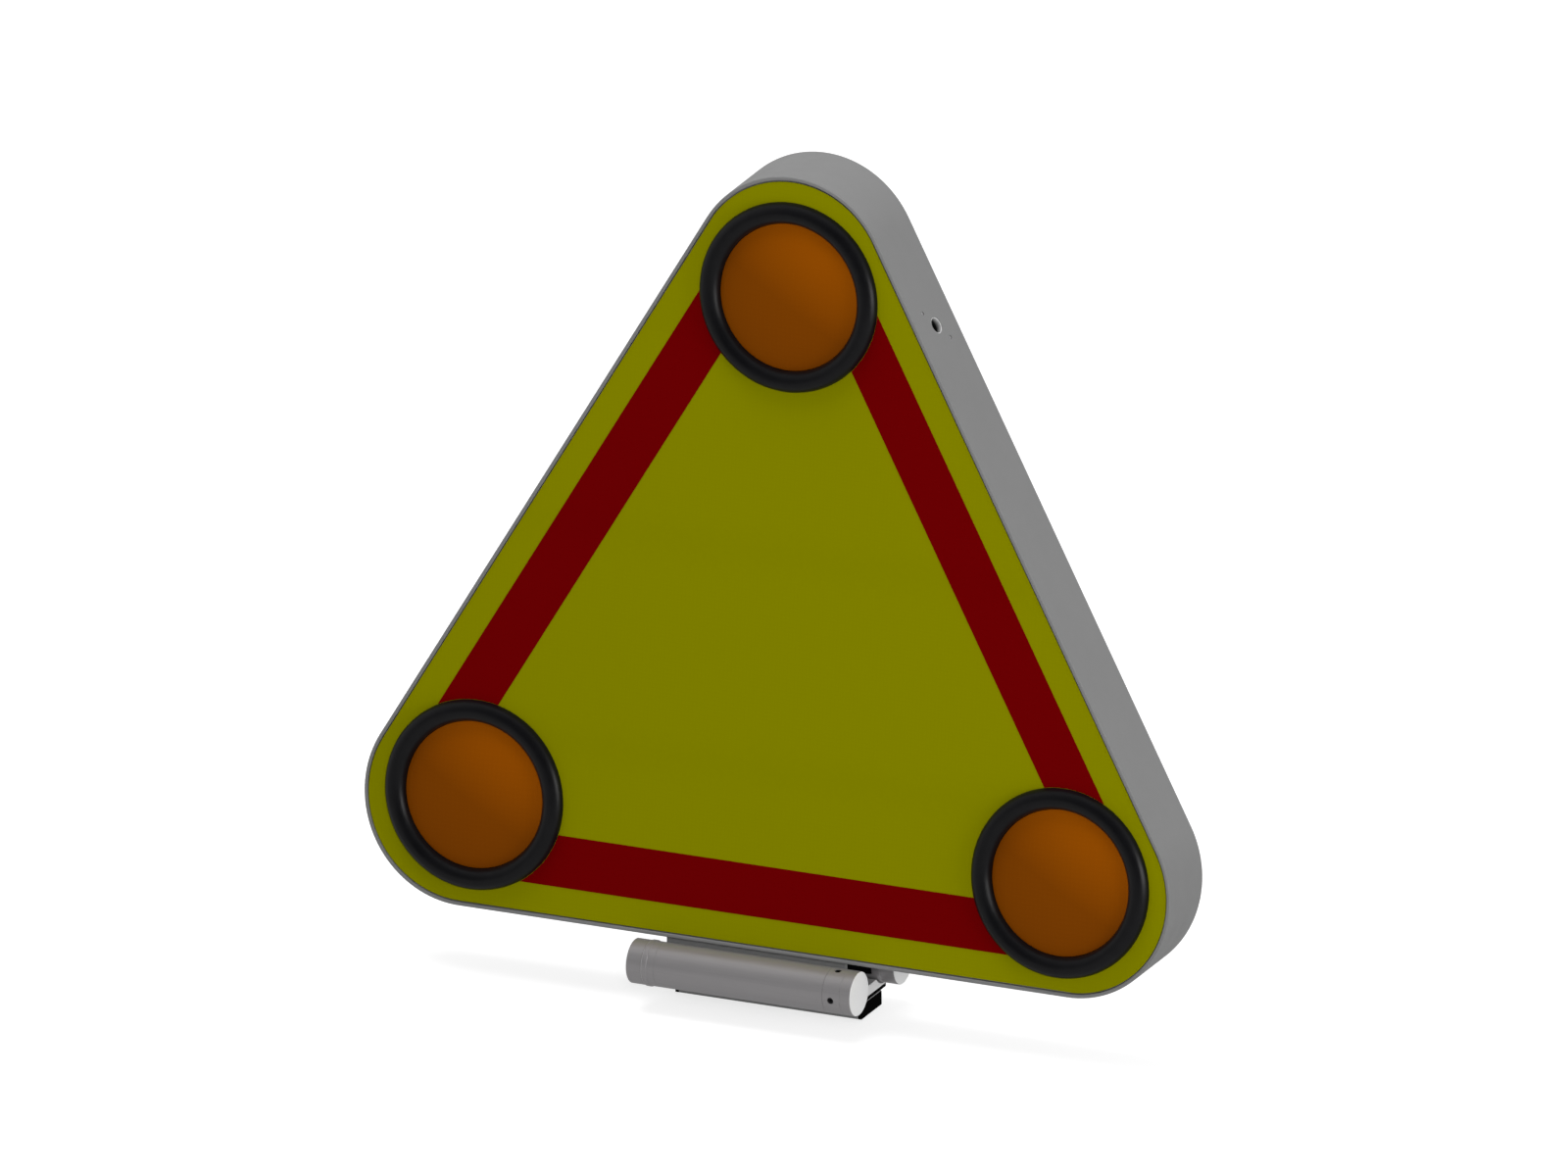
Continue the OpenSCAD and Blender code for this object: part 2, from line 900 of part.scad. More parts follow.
module gear_x_axis(n, slack, x0, width, addendum = 0.9 * gear_m, dedendum = 1.2 * gear_m) {
  translate([x0, 0, 0])
    rotate([90, 0, 90])
      linear_extrude(width)
        spur_2d(n, slack, addendum, dedendum);
}

module sun_gear() {
  color("goldenrod")
    at_motor_axis()
      union() {
        rotate([180 / sun_teeth, 0, 0]) gear_x_axis(sun_teeth, tooth_slack, gear_x, gear_w);
        bar_x(gear_x - 11.5, gear_x + eps, sun_shaft_r);
      }
}

// Planet k stands on its pin with a tooth pointing outward into a gap of the ring
module planet_gear(k) {
  color("peru")
    at_motor_axis()
      rotate([120 * k + 90, 0, 0])
        translate([0, orbit_r, 0])
          difference() {
            gear_x_axis(planet_teeth, tooth_slack, gear_x, gear_w - 0.5);
            bar_x(gear_x - 1, gear_x + gear_w + 1, planet_pin_r + fit_gap);
          }
}

// Ring gear and gearbox case in one piece
module ring_gear() {
  color([0.45, 0.45, 0.47])
    at_motor_axis()
      difference() {
        bar_x(gear_x - 8, gear_x + gear_w + 8, plug_r);
        rotate([90, 0, 0])
          gear_x_axis(ring_teeth, -tooth_slack, gear_x - 2, gear_w + 2.5, 1.2 * gear_m, 0.55 * gear_m);
        bar_x(gear_x + gear_w + 0.4, gear_x + gear_w + 9, carrier_r + 0.2);
        bar_x(gear_x - 9, gear_x - 1, sun_shaft_r + 0.2);
        bar_x(gear_x - 2, gear_x, orbit_r + sun_shaft_r);
      }
}

module motor_can() {
  color([0.5, 0.5, 0.52])
    at_motor_axis()
      difference() {
        bar_x(-48, gear_x - 8, tube_bore_r - 0.2);
        bar_x(gear_x - 12, gear_x, sun_shaft_r + 0.2);
      }
}

module output_bearing() {
  color("dimgray")
    at_motor_axis()
      difference() {
        bar_x(60, collar_in - 0.2, plug_r);
        bar_x(50, collar_in + 1, shaft_r);
        rotate([-90, 0, 0])
          translate([tube_screw_x[1], 0, shaft_r + 2])
            cylinder(r = tapped_r(cradle_screw), h = tube_r);
      }
}

// ---------- motor tube ----------
module motor_tube() {
  color([0.62, 0.6, 0.61])
    difference() {
      at_motor_axis()
        difference() {
          bar_x(-collar_in + 0.1, collar_in - 0.1, tube_r);
          bar_x(-collar_in, collar_in, tube_bore_r);
        }
      for (x = tube_screw_x) at_tube_screw(x) hole(tapped_r(cradle_screw), 2 * tube_r);
    }
}

// Frame of a tube screw: z out of the back of the cradle
module at_tube_screw(x) {
  translate([x, -32, motor_z])
    rotate([-90, 0, 0])
      children();
}

module idle_hub() {
  color("silver")
    at_motor_axis()
      difference() {
        union() {
          bar_x(-collar_in + 0.1, -50, plug_r);
          bar_x(-tube_len / 2 + 3, -collar_in + 0.2, hub_r);
        }
        translate([tube_screw_x[0], 0, 0])
          rotate([-90, 0, 0])
            cylinder(r = tapped_r(cradle_screw), h = 2 * tube_r);
        bar_x(-tube_len, 0, hub_r - 6);
      }
}

module idle_end_cap() {
  color([0.7, 0.7, 0.7])
    at_motor_axis()
      difference() {
        bar_x(-tube_len / 2, -tube_len / 2 + idle_cap_len - 0.1, tube_r);
        bar_x(-tube_len / 2 + 3, 0, hub_r + fit_gap);
      }
}

module idle_bush() {
  x0 = -collar_in - idle_collar_len;
  color("darkgoldenrod")
    at_motor_axis()
      difference() {
        bar_x(x0 + 0.1, -collar_in - 0.1, bush_r - fit_gap);
        bar_x(x0 - 1, 0, hub_r + fit_gap);
      }
}

// ---------- base ----------
module tube_cradle() {
  back = 27.4;
  saddle = [[-47.4, 16.6], [-41, plate_top], [-20, plate_top], [-20, web_top],
            [-27, web_top], [-32, 31], [-32, 43], [-40, 43], [-47.4, 30]];
  web = [[-28, plate_top], [back, plate_top], [back, web_top], [-28, web_top]];
  color("lightgray")
    difference() {
      union() {
        profile_x(-72, 72, saddle);
        profile_x(-base_len / 2, base_len / 2, web);
      }
      at_motor_axis() bar_x(-tube_len, tube_len, tube_r + fit_gap);
      at_rest_axis() bar_x(-tube_len, tube_len, tube_r + 1.2);
      for (p = screw_places) {
        translate([p[0], p[1], 0]) hole(clear_r(cradle_screw));
        translate([p[0], p[1], web_top - counterbore])
          cylinder(r = cradle_screw[1] + 0.2, h = 2 * counterbore);
      }
      for (x = tube_screw_x) at_tube_screw(x) hole(tapped_r(cradle_screw), 2 * tube_r);
    }
}

module rest_pad() {
  color([0.08, 0.08, 0.08])
    intersection() {
      at_rest_axis()
        difference() {
          bar_x(-70, 70, tube_r + 1.15);
          bar_x(-71, 71, tube_r + 0.1);
        }
      translate([-100, 8, plate_top]) cube([200, 19, 6.8]);
    }
}

module base_plate() {
  color([0.07, 0.07, 0.07])
    difference() {
      translate([-base_len / 2, bracket_front, plate_z])
        cube([base_len, 27.4 - bracket_front, base_plate_t]);
      for (p = screw_places) translate([p[0], p[1], 0]) hole(clear_r(cradle_screw));
    }
}

module base_shim() {
  color([0.6, 0.6, 0.6])
    difference() {
      translate([-base_len / 2 + 0.5, -block_w / 2 + 0.5, shim_z])
        cube([base_len - 1, block_w - 1, shim_t]);
      for (p = screw_places) translate([p[0], p[1], 0]) hole(clear_r(cradle_screw));
    }
}

module base_block() {
  half = base_len / 2 - end_cap_t;
  color([0.45, 0.45, 0.45])
    difference() {
      translate([-half, -block_w / 2, 0]) cube([2 * half, block_w, block_h]);
      for (p = screw_places) translate([p[0], p[1], 2]) cylinder(r = tapped_r(cradle_screw), h = block_h);
      for (x = [-0.5, 0.5])
        for (y = [-0.5, 0.5])
          translate([x * mount_dx, y * mount_dy, -1])
            cylinder(r = mount_hole_r, h = block_h + 2);
      peg_places() bar_x(half - peg_len - 1, half + 1, peg_r + fit_gap);
    }
}

// Black end caps, each pushed in on two pegs
module base_end_caps() {
  half = base_len / 2 - end_cap_t;
  color([0.05, 0.05, 0.05]) {
    for (x = [-base_len / 2, half + fit_gap])
      translate([x, -block_w / 2, 0])
        cube([end_cap_t - fit_gap, block_w, block_h]);
    peg_places() bar_x(half - peg_len, half + 2 * fit_gap, peg_r);
  }
}

module peg_places() {
  for (a = [0, 180])
    for (y = [-12, 12])
      rotate([0, 0, a])
        translate([0, y, block_h / 2])
          children();
}

// Eight like screws: six down into the block, two into the motor tube from behind
module cradle_screws() {
  color("gray") {
    for (p = screw_places) translate([p[0], p[1], web_top - counterbore]) cap_screw(cradle_screw, 12);
    for (x = tube_screw_x) at_tube_screw(x) cap_screw(cradle_screw, 12);
  }
}

casing_shell();
rear_cover();
cover_gasket();
cover_screws();
sign_plate();
yellow_film();
red_band();
lamp_bezel(lamp_angles[0]);  // lamp_bezel_top
lamp_bezel(lamp_angles[1]);  // lamp_bezel_left
lamp_bezel(lamp_angles[2]);  // lamp_bezel_right
lamp_lens(lamp_angles[0]);  // lamp_lens_top
lamp_lens(lamp_angles[1]);  // lamp_lens_left
lamp_lens(lamp_angles[2]);  // lamp_lens_right
lamp_housing(lamp_angles[0]);  // lamp_housing_top
lamp_housing(lamp_angles[1]);  // lamp_housing_left
lamp_housing(lamp_angles[2]);  // lamp_housing_right
led_board(lamp_angles[0]);  // led_board_top
led_board(lamp_angles[1]);  // led_board_left
led_board(lamp_angles[2]);  // led_board_right
lamp_screws();
flasher_case();
flasher_lid();
flasher_board();
flasher_screws();
wiring_harness();
power_socket();
socket_pins();
socket_screws();
backing_plate();
bracket_bolts();
top_bracket();
bracket_cheeks();
rest_tube();
rest_tube_caps();
rest_tube_bolts();
drive_collar();
idle_collar();
collar_pins();
set_screws();
drive_end_cap();
output_shaft();
planet_pins();
idle_bush();
motor_tube();
idle_hub();
idle_end_cap();
motor_can();
ring_gear();
output_bearing();
sun_gear();
planet_gear(0);  // planet_gear_1
planet_gear(1);  // planet_gear_2
planet_gear(2);  // planet_gear_3
tube_cradle();
rest_pad();
base_plate();
base_shim();
base_block();
base_end_caps();
cradle_screws();
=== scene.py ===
import json
import math

import bmesh
import bpy
from mathutils import Matrix, Vector

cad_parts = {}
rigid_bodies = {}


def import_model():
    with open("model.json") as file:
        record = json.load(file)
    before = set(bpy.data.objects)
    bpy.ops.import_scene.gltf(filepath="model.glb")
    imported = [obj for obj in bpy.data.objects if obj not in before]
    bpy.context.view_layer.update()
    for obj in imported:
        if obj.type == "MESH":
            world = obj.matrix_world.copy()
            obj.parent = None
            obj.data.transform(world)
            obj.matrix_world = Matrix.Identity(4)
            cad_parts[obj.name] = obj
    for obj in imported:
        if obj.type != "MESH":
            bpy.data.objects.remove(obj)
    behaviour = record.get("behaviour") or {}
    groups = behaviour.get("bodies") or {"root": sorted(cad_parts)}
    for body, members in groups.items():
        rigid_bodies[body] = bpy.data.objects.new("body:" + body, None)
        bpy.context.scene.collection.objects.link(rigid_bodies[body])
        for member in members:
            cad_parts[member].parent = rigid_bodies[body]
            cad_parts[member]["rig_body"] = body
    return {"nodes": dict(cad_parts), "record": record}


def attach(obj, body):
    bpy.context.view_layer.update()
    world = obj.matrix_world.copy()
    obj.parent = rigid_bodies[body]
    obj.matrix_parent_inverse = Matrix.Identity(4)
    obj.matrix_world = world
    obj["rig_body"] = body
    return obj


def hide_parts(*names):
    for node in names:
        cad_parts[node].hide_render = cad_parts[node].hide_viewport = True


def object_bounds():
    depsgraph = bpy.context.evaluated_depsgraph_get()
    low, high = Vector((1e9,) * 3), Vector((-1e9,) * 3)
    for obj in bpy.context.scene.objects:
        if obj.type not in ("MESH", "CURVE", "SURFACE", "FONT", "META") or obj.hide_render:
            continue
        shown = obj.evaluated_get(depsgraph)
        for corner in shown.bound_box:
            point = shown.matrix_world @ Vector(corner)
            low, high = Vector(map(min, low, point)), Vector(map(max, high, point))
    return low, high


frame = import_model()
cad_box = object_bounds()
NODES = frame["nodes"]
SLOTS = {s["node"]: s["material_slot"] for s in frame["record"]["subparts"]}
MM = 0.001
FIT = 0.05

# ---------- the sign's own frame, in mm ----------
LEAN = math.radians(7)
MID = Vector((10.0, -20.4, 295.0))
SIDE = 529.5
CIRCUM = SIDE / math.sqrt(3)
INNER = CIRCUM / 2
CORNER_R = 85.6
CASING_D = 62.0
WALL = 3.0
LAMP_CIRCLE = 294.3
LAMPS = {"top": 90, "left": 210, "right": 330}
LENS_R = 59.6
LENS_RISE = 5.0
BEZEL_R = 77.0
PLATE_HOLE_R = 65.8
PLATE_BACK = -3.5
FILM_Z = -0.7
RING_STEPS = 24
DOME_STEPS = 32
CORNER_ANGLES = [math.radians(a) for a in (210, 330, 90)]
CORNERS = [CIRCUM * Vector((math.cos(a), math.sin(a))) for a in CORNER_ANGLES]
ON_SIGN = Matrix.Translation(MID) @ Matrix.Rotation(-LEAN, 4, "X")
ON_BACK = Matrix.Translation((0, CASING_D, 0)) @ ON_SIGN
INTO_SIGN = Matrix.Rotation(math.radians(-90), 4, "X")
OUT_OF_SIGN = Matrix.Rotation(math.radians(90), 4, "X")
ALONG_X = Matrix.Rotation(math.radians(90), 4, "Y")
MOTOR_AXIS = Matrix.Translation((0, -58.1, 37.8)) @ ALONG_X
REST_AXIS = Matrix.Translation((0, 24.7, 36.0)) @ ALONG_X

# ---------- the socket's frame on the right-hand wall: z out of it, x down it, y backward ----------
SOCKET_DOWN = 82
SOCKET_R = 7.0
SOCKET_BORE_R = 6.2
SOCKET_FLOOR = -11
SOCKET_END = -27
SOCKET_LIP = -0.4
SOCKET_SCREWS = [(-14.3, -10.2, 0), (14.3, 10.2, 0)]
LEVEL_CORNERS = [Vector((c.x, c.y * math.cos(LEAN))) for c in CORNERS]
RIGHT_DOWN = (LEVEL_CORNERS[1] - LEVEL_CORNERS[2]).normalized()
RIGHT_OUT = Vector((-RIGHT_DOWN.y, RIGHT_DOWN.x))
SOCKET_AT = LEVEL_CORNERS[2] + CORNER_R * RIGHT_OUT + SOCKET_DOWN * RIGHT_DOWN
OUT_OF_WALL = Matrix.Rotation(math.atan2(RIGHT_OUT.x, RIGHT_OUT.y), 4, "Y")
AT_SOCKET = Matrix.Translation((MID.x + SOCKET_AT.x,
                                MID.y + CASING_D / 2 + SOCKET_AT.y * math.tan(LEAN),
                                MID.z + SOCKET_AT.y)) @ OUT_OF_WALL


# ---------- outlines ----------
def fillet(points, radius, steps=4):
    """A closed outline with its corners rounded; radius is one number or one per corner."""
    out = []
    count = len(points)
    for i in range(count):
        p = Vector(points[i])
        u, v = Vector(points[i - 1]) - p, Vector(points[(i + 1) % count]) - p
        r = radius[i] if isinstance(radius, (list, tuple)) else radius
        reach_u, reach_v = u.length, v.length
        u.normalize()
        v.normalize()
        half = math.acos(max(-1.0, min(1.0, u.dot(v)))) / 2
        cut = min(r / math.tan(half), 0.48 * reach_u, 0.48 * reach_v) if r > 0 and half < 1.55 else 0
        if cut < 1e-6:
            out.append(p)
            continue
        centre = p + (u + v).normalized() * cut / math.cos(half)
        size = cut * math.tan(half)
        d0, d1 = p + u * cut - centre, p + v * cut - centre
        start = math.atan2(d0.y, d0.x)
        turn = (math.atan2(d1.y, d1.x) - start + math.pi) % (2 * math.pi) - math.pi
        for k in range(steps + 1):
            a = start + turn * k / steps
            out.append(centre + size * Vector((math.cos(a), math.sin(a))))
    return out


def triangle_stations(steps=40):
    """(corner centre, direction) round a level section of the casing."""
    stations = []
    for i, c in enumerate(LEVEL_CORNERS):
        before, after = c - LEVEL_CORNERS[i - 1], LEVEL_CORNERS[(i + 1) % 3] - c
        a0 = math.atan2(-before.x, before.y)
        turn = (math.atan2(-after.x, after.y) - a0) % (2 * math.pi)
        for k in range(steps + 1):
            a = a0 + turn * k / steps
            stations.append((c, Vector((math.cos(a), math.sin(a)))))
    return stations


def on_casing(p, depth):
    """A point of a level section at a depth behind the leaning front plane."""
    return (MID.x + p.x, MID.y + depth + p.y * math.tan(LEAN), MID.z + p.y)


# ---------- mesh makers ----------
def new_object(name, verts, faces, matrix=None):
    """A mesh object from points in mm, with merged points and outward faces."""
    mesh = bpy.data.meshes.new(name)
    place = matrix if matrix is not None else Matrix.Identity(4)
    mesh.from_pydata([(place @ Vector(v)) * MM for v in verts], [], faces)
    obj = bpy.data.objects.new(name, mesh)
    bpy.context.scene.collection.objects.link(obj)
    bm = bmesh.new()
    bm.from_mesh(mesh)
    bmesh.ops.remove_doubles(bm, verts=bm.verts, dist=1e-7)
    bmesh.ops.recalc_face_normals(bm, faces=bm.faces)
    bm.to_mesh(mesh)
    bm.free()
    return obj


def ring_faces(rings, size):
    """Quads between neighbouring rings of a closed sweep."""
    return [(i * size + j, i * size + (j + 1) % size, ((i + 1) % rings) * size + (j + 1) % size,
             ((i + 1) % rings) * size + j) for i in range(rings) for j in range(size)]


def lathe(name, outline, matrix, segments=128):
    """Turns a closed (radius, height) outline about the local z axis."""
    verts, rows = [], []
    for r, z in outline:
        if r < 1e-6:
            rows.append([len(verts)] * segments)
            verts.append((0, 0, z))
            continue
        rows.append([len(verts) + k for k in range(segments)])
        verts += [(r * math.cos(2 * math.pi * k / segments), r * math.sin(2 * math.pi * k / segments), z)
                  for k in range(segments)]
    faces = []
    for i, row in enumerate(rows):
        nxt = rows[(i + 1) % len(rows)]
        if row[0] == row[1] and nxt[0] == nxt[1]:
            continue
        for k in range(segments):
            quad = [row[k], row[(k + 1) % segments], nxt[(k + 1) % segments], nxt[k]]
            faces.append(tuple(dict.fromkeys(quad)))
    return new_object(name, verts, faces, matrix)


def rim_sweep(name, outline):
    """Sweeps a closed (offset, depth) outline round the casing, level front to back."""
    stations = triangle_stations()
    verts = [on_casing(c + d * r, depth) for c, d in stations for r, depth in outline]
    return new_object(name, verts, ring_faces(len(stations), len(outline)))


def rim_plate(name, offset, y0, y1, edge):
    """A full plate inside the casing between two depths, with rounded edges."""
    stations = triangle_stations()
    outline = fillet([(0, y0), (offset, y0), (offset, y1), (0, y1)], [0, edge, edge, 0])[1:-1]
    verts = [on_casing(c + d * r, depth) for r, depth in outline for c, d in stations]
    n = len(stations)
    faces = [(i * n + j, i * n + (j + 1) % n, (i + 1) * n + (j + 1) % n, (i + 1) * n + j)
             for i in range(len(outline) - 1) for j in range(n)]
    faces += [tuple(range(n)), tuple(range((len(outline) - 1) * n, len(outline) * n))]
    return new_object(name, verts, faces)


def cylinder_mesh(radius, z0, z1, matrix, segments=48):
    """A plain cylinder to cut with."""
    return lathe("cutter", [(0, z0), (radius, z0), (radius, z1), (0, z1)], matrix, segments)


def bake(obj):
    """Applies the modifiers."""
    bpy.context.view_layer.update()
    graph = bpy.context.evaluated_depsgraph_get()
    mesh = bpy.data.meshes.new_from_object(obj.evaluated_get(graph))
    obj.modifiers.clear()
    obj.data = mesh


def cut(obj, cutters):
    """Subtracts the cutters from a piece and removes them."""
    for c in cutters:
        m = obj.modifiers.new("cut", "BOOLEAN")
        m.operation = "DIFFERENCE"
        m.solver = "EXACT"
        m.object = c
    bake(obj)
    for c in cutters:
        bpy.data.objects.remove(c)


def soften(obj, width=0.0):
    """Rounds the sharp edges by width in mm and shades the rest smooth."""
    if width > 0:
        m = obj.modifiers.new("edges", "BEVEL")
        m.width = width * MM
        m.segments = 2
        m.limit_method = "ANGLE"
        m.angle_limit = math.radians(30)
        m.use_clamp_overlap = False
        m.miter_outer = "MITER_ARC"
        bake(obj)
    for p in obj.data.polygons:
        p.use_smooth = True
    obj.data.set_sharp_from_angle(angle=math.radians(38))
    m = obj.modifiers.new("normals", "WEIGHTED_NORMAL")
    m.keep_sharp = True
    m.weight = 50
    bake(obj)


def stand_for(obj, node):
    """obj is shown in place of a CAD node, on its body and with its finish."""
    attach(obj, NODES[node]["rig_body"])
    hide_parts(node)
    dress(obj, SLOTS[node])


def refine(node, width):
    """A finer copy of a CAD node: flat faces merged, edges rounded, curves shaded smooth."""
    obj = bpy.data.objects.new(node + "_fine", NODES[node].data.copy())
    bpy.context.scene.collection.objects.link(obj)
    bm = bmesh.new()
    bm.from_mesh(obj.data)
    bmesh.ops.remove_doubles(bm, verts=bm.verts, dist=2e-6)
    bmesh.ops.dissolve_limit(bm, angle_limit=math.radians(2), verts=bm.verts, edges=bm.edges)
    bm.normal_update()
    bm.to_mesh(obj.data)
    bm.free()
    if obj.data.has_custom_normals:
        obj.data.attributes.remove(obj.data.attributes["custom_normal"])
    soften(obj, width)
    stand_for(obj, node)


# ---------- materials ----------
class Finish:
    """A node material with its shader and its coordinates."""

    def __init__(self, name, rough, metal=0.0, spec=0.5):
        self.mat = bpy.data.materials.new(name)
        self.mat.use_nodes = True
        self.tree = self.mat.node_tree
        self.shader = self.tree.nodes["Principled BSDF"]
        self.shader.inputs["Roughness"].default_value = rough
        self.shader.inputs["Metallic"].default_value = metal
        self.shader.inputs["Specular IOR Level"].default_value = spec
        self.coords = self.tree.nodes.new("ShaderNodeTexCoord").outputs["Object"]

    def node(self, kind, **values):
        n = self.tree.nodes.new(kind)
        for key, value in values.items():
            if key in n.inputs:
                n.inputs[key].default_value = value
            else:
                setattr(n, key, value)
        return n

    def link(self, a, b):
        self.tree.links.new(a, b)

    def noise(self, scale, detail=3.0, rough=0.5, stretch=None):
        n = self.node("ShaderNodeTexNoise", Scale=scale, Detail=detail, Roughness=rough)
        if stretch is None:
            self.link(self.coords, n.inputs["Vector"])
        else:
            m = self.node("ShaderNodeMapping")
            m.inputs["Scale"].default_value = stretch
            self.link(self.coords, m.inputs["Vector"])
            self.link(m.outputs[0], n.inputs["Vector"])
        return n.outputs["Fac"]

    def spread(self, value, low, high, from_low=0.3, from_high=0.7):
        m = self.node("ShaderNodeMapRange")
        m.inputs["From Min"].default_value = from_low
        m.inputs["From Max"].default_value = from_high
        m.inputs["To Min"].default_value = low
        m.inputs["To Max"].default_value = high
        self.link(value, m.inputs["Value"])
        return m.outputs[0]

    def tint(self, colour, factor):
        """colour times a factor socket."""
        m = self.node("ShaderNodeMix", data_type="RGBA", blend_type="MULTIPLY")
        m.inputs[0].default_value = 1.0
        m.inputs[6].default_value = colour
        grey = self.node("ShaderNodeCombineColor")
        for i in range(3):
            self.link(factor, grey.inputs[i])
        self.link(grey.outputs[0], m.inputs[7])
        return m.outputs[2]

    def colour(self, socket):
        self.link(socket, self.shader.inputs["Base Color"])

    def roughness(self, socket):
        self.link(socket, self.shader.inputs["Roughness"])

    def bump(self, height, strength, distance):
        b = self.node("ShaderNodeBump")
        b.inputs["Strength"].default_value = strength
        b.inputs["Distance"].default_value = distance * MM
        self.link(height, b.inputs["Height"])
        self.link(b.outputs[0], self.shader.inputs["Normal"])


def painted(name, colour, rough, grain=1400, depth=0.02, mottling=0.03, spec=0.3):
    """Paint or powder coat: faint mottling and a fine orange-peel skin."""
    f = Finish(name, rough, spec=spec)
    f.colour(f.tint(colour, f.spread(f.noise(14, 5), 1 - mottling, 1 + mottling)))
    f.roughness(f.spread(f.noise(60, 4), rough - 0.05, rough + 0.05))
    f.bump(f.noise(grain, 2), 0.35, depth)
    return f.mat


def machined(name, colour, rough, metal=1.0, stretch=(30, 1500, 1500)):
    """Metal with fine drawn lines along x."""
    f = Finish(name, rough, metal)
    lines = f.noise(1.0, 3, 0.6, stretch)
    f.colour(f.tint(colour, f.spread(lines, 0.93, 1.05)))
    f.roughness(f.spread(lines, rough - 0.06, rough + 0.08))
    f.bump(lines, 0.15, 0.01)
    return f.mat


def plated_with_painted_shade(name, rim, inside, matrix, rim_depth, depth):
    """Plated metal with painted shade: its colour darkens to the inside tone between two depths in mm below a
    matrix's origin, along its z axis, where shade falls in a bore.
    """
    f = Finish(name, 0.4, 0.25)
    axis = matrix.col[2].to_3d()
    along = f.node("ShaderNodeVectorMath", operation="DOT_PRODUCT")
    f.link(f.coords, along.inputs[0])
    along.inputs[1].default_value = axis
    level = matrix.translation.dot(axis)
    # Painted shade: the mask darkens the colour deeper in the bore
    mask = f.spread(along.outputs["Value"], 0.0, 1.0, (level - depth) * MM, (level - rim_depth) * MM)
    mix = f.node("ShaderNodeMix", data_type="RGBA")
    f.link(mask, mix.inputs[0])
    mix.inputs[6].default_value = inside
    f.link(f.tint(rim, f.spread(f.noise(900, 3), 0.93, 1.05)), mix.inputs[7])
    f.colour(mix.outputs[2])
    return f.mat


def drawn(name, side, end=None, metal=0.5):
    """Satin metal drawn or turned along x; faces cut across x can have their own brighter tone."""
    rough = 0.42
    f = Finish(name, rough, metal)
    lines = f.noise(1.0, 3, 0.6, (18, 900, 900))
    tone = f.tint(side, f.spread(lines, 0.96, 1.03))
    if end is not None:
        rings = f.tint(end, f.spread(f.noise(1100, 3), 0.97, 1.02))
        split = f.node("ShaderNodeSeparateXYZ")
        f.link(f.node("ShaderNodeTexCoord").outputs["Normal"], split.inputs[0])
        across = f.node("ShaderNodeMath", operation="ABSOLUTE")
        f.link(split.outputs[0], across.inputs[0])
        mask = f.spread(across.outputs[0], 0.0, 1.0, 0.55, 0.85)
        faces = f.node("ShaderNodeMix", data_type="RGBA")
        f.link(mask, faces.inputs[0])
        f.link(tone, faces.inputs[6])
        f.link(rings, faces.inputs[7])
        tone = faces.outputs[2]
        f.link(f.spread(across.outputs[0], metal, 0.0, 0.55, 0.85), f.shader.inputs["Metallic"])
    f.colour(tone)
    f.roughness(f.spread(lines, rough - 0.05, rough + 0.05))
    f.bump(lines, 0.12, 0.01)
    return f.mat


def film(name, colour):
    """Retroreflective film: a lattice of small cells under a matt skin."""
    f = Finish(name, 0.5, spec=0.0)
    m = f.node("ShaderNodeMapping")
    m.inputs["Scale"].default_value = (1, 0.15, 1)
    f.link(f.coords, m.inputs["Vector"])
    cells = f.node("ShaderNodeTexVoronoi", Scale=310, Randomness=0.12, feature="DISTANCE_TO_EDGE")
    f.link(m.outputs[0], cells.inputs["Vector"])
    wall = f.spread(cells.outputs["Distance"], 0.97, 1.005, 0.0, 0.14)
    cloud = f.spread(f.noise(9, 4), 0.997, 1.003)
    both = f.node("ShaderNodeMath", operation="MULTIPLY")
    f.link(wall, both.inputs[0])
    f.link(cloud, both.inputs[1])
    f.colour(f.tint(colour, both.outputs[0]))
    f.roughness(f.spread(f.noise(40, 3), 0.34, 0.44))
    f.bump(cells.outputs["Distance"], 0.08, 0.02)
    return f.mat


def rubber(name, colour, rough=0.35):
    """Moulded rubber: faint blotches and a fine matt skin."""
    f = Finish(name, rough, spec=0.22)
    f.colour(f.tint(colour, f.spread(f.noise(120, 4), 0.85, 1.15)))
    f.roughness(f.spread(f.noise(35, 4), rough - 0.06, rough + 0.08))
    f.bump(f.noise(2600, 2), 0.3, 0.015)
    return f.mat


def amber(name, colour):
    """Moulded lens: deep amber over a fine lattice of optics, with painted light that brightens it towards the
    upper right edge of the dome.
    """
    f = Finish(name, 0.4, spec=0.02)
    m = f.node("ShaderNodeMapping")
    m.inputs["Scale"].default_value = (1, 0.1, 1)
    f.link(f.coords, m.inputs["Vector"])
    optics = f.node("ShaderNodeTexVoronoi", Scale=260, Randomness=0.0, feature="SMOOTH_F1")
    f.link(m.outputs[0], optics.inputs["Vector"])
    # Painted light: the colour is brightened towards the upper right edge of the dome, where light falls
    rise = f.node("ShaderNodeVectorMath", operation="DOT_PRODUCT")
    f.link(f.node("ShaderNodeTexCoord").outputs["Normal"], rise.inputs[0])
    rise.inputs[1].default_value = (0.5, 0, 0.86)
    emission_and_painted_light = f.spread(rise.outputs["Value"], 1.0, 1.55, 0.09, 0.24)
    both = f.node("ShaderNodeMath", operation="MULTIPLY")
    f.link(emission_and_painted_light, both.inputs[0])
    f.link(f.spread(optics.outputs["Distance"], 1.02, 0.97, 0.1, 0.6), both.inputs[1])
    f.colour(f.tint(colour, both.outputs[0]))
    f.roughness(f.spread(f.noise(50, 3), 0.32, 0.4))
    f.bump(optics.outputs["Distance"], 0.05, 0.05)
    return f.mat


